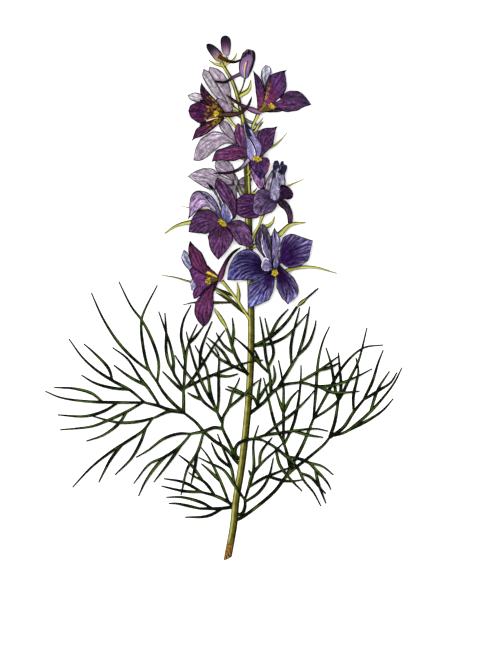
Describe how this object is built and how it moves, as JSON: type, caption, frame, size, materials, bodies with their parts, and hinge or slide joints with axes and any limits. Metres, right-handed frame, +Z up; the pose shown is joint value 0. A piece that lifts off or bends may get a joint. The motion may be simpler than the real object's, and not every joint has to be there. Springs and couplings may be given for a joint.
{
  "type": "cut delphinium stem",
  "caption": "Cut flowering stem of larkspur lying on its back: spurred violet flowers, closed buds at the tip and finely divided thread-like leaves.",
  "frame": {"origin": "middle of the plan of the whole stem, on the surface that it lies on", "axes": "+Y along the stem from its cut end to its topmost bud, +X to the right seen from above, +Z up"},
  "size_m": [0.1432, 0.2099, 0.0299],
  "materials": {
    "stem_green": "satin living stalk, lightly ridged",
    "leaf_green": "satin thread-like leaf",
    "stalk_olive": "satin living stalk",
    "sepal_indigo": "velvety petal-like sepal with fine veins",
    "sepal_plum": "velvety petal-like sepal with fine veins",
    "sepal_magenta": "velvety petal-like sepal with fine veins",
    "sepal_violet": "velvety petal-like sepal with fine veins",
    "sepal_maroon": "velvety petal-like sepal with fine veins",
    "sepal_lilac": "thin pale sepal with fine veins",
    "petal_lavender": "thin satin petal",
    "anther_yellow": "dusty pollen",
    "bud_mauve": "velvety closed bud"
  },
  "bodies": {
    "root": {"stem": "stem_green", "leaf_large_left": "leaf_green", "leaf_middle_left": "leaf_green", "leaf_low_left": "leaf_green", "leaf_low_right": "leaf_green", "leaf_large_right": "leaf_green", "leaf_arching_right": "leaf_green", "leaf_upright_right": "leaf_green", "leaf_upper_left": "leaf_green", "leaf_upper_right": "leaf_green", "first_flower_calyx": "sepal_indigo", "first_flower_petals": "petal_lavender", "first_flower_stamens": "anther_yellow", "first_flower_stalk": "stalk_olive", "second_flower_calyx": "sepal_plum", "second_flower_petals": "petal_lavender", "second_flower_stamens": "anther_yellow", "second_flower_stalk": "stalk_olive", "third_flower_calyx": "sepal_magenta", "third_flower_petals": "petal_lavender", "third_flower_stamens": "anther_yellow", "third_flower_stalk": "stalk_olive", "fourth_flower_calyx": "sepal_violet", "fourth_flower_petals": "petal_lavender", "fourth_flower_stamens": "anther_yellow", "fourth_flower_stalk": "stalk_olive", "fifth_flower_calyx": "sepal_lilac", "fifth_flower_petals": "petal_lavender", "fifth_flower_stamens": "anther_yellow", "fifth_flower_stalk": "stalk_olive", "sixth_flower_calyx": "sepal_magenta", "sixth_flower_petals": "petal_lavender", "sixth_flower_stamens": "anther_yellow", "sixth_flower_stalk": "stalk_olive", "seventh_flower_calyx": "sepal_lilac", "seventh_flower_petals": "petal_lavender", "seventh_flower_stamens": "anther_yellow", "seventh_flower_stalk": "stalk_olive", "eighth_flower_calyx": "sepal_maroon", "eighth_flower_petals": "petal_lavender", "eighth_flower_stamens": "anther_yellow", "eighth_flower_stalk": "stalk_olive", "ninth_flower_calyx": "sepal_violet", "ninth_flower_petals": "petal_lavender", "ninth_flower_stamens": "anther_yellow", "ninth_flower_stalk": "stalk_olive", "tenth_flower_calyx": "sepal_lilac", "tenth_flower_petals": "petal_lavender", "tenth_flower_stamens": "anther_yellow", "tenth_flower_stalk": "stalk_olive", "bud_top": "bud_mauve", "bud_top_stalk": "stalk_olive", "bud_left": "bud_mauve", "bud_left_stalk": "stalk_olive", "bud_right": "bud_mauve", "bud_right_stalk": "stalk_olive", "green_bud_left": "stalk_olive", "green_bud_right": "stalk_olive"}
  },
  "joints": []
}
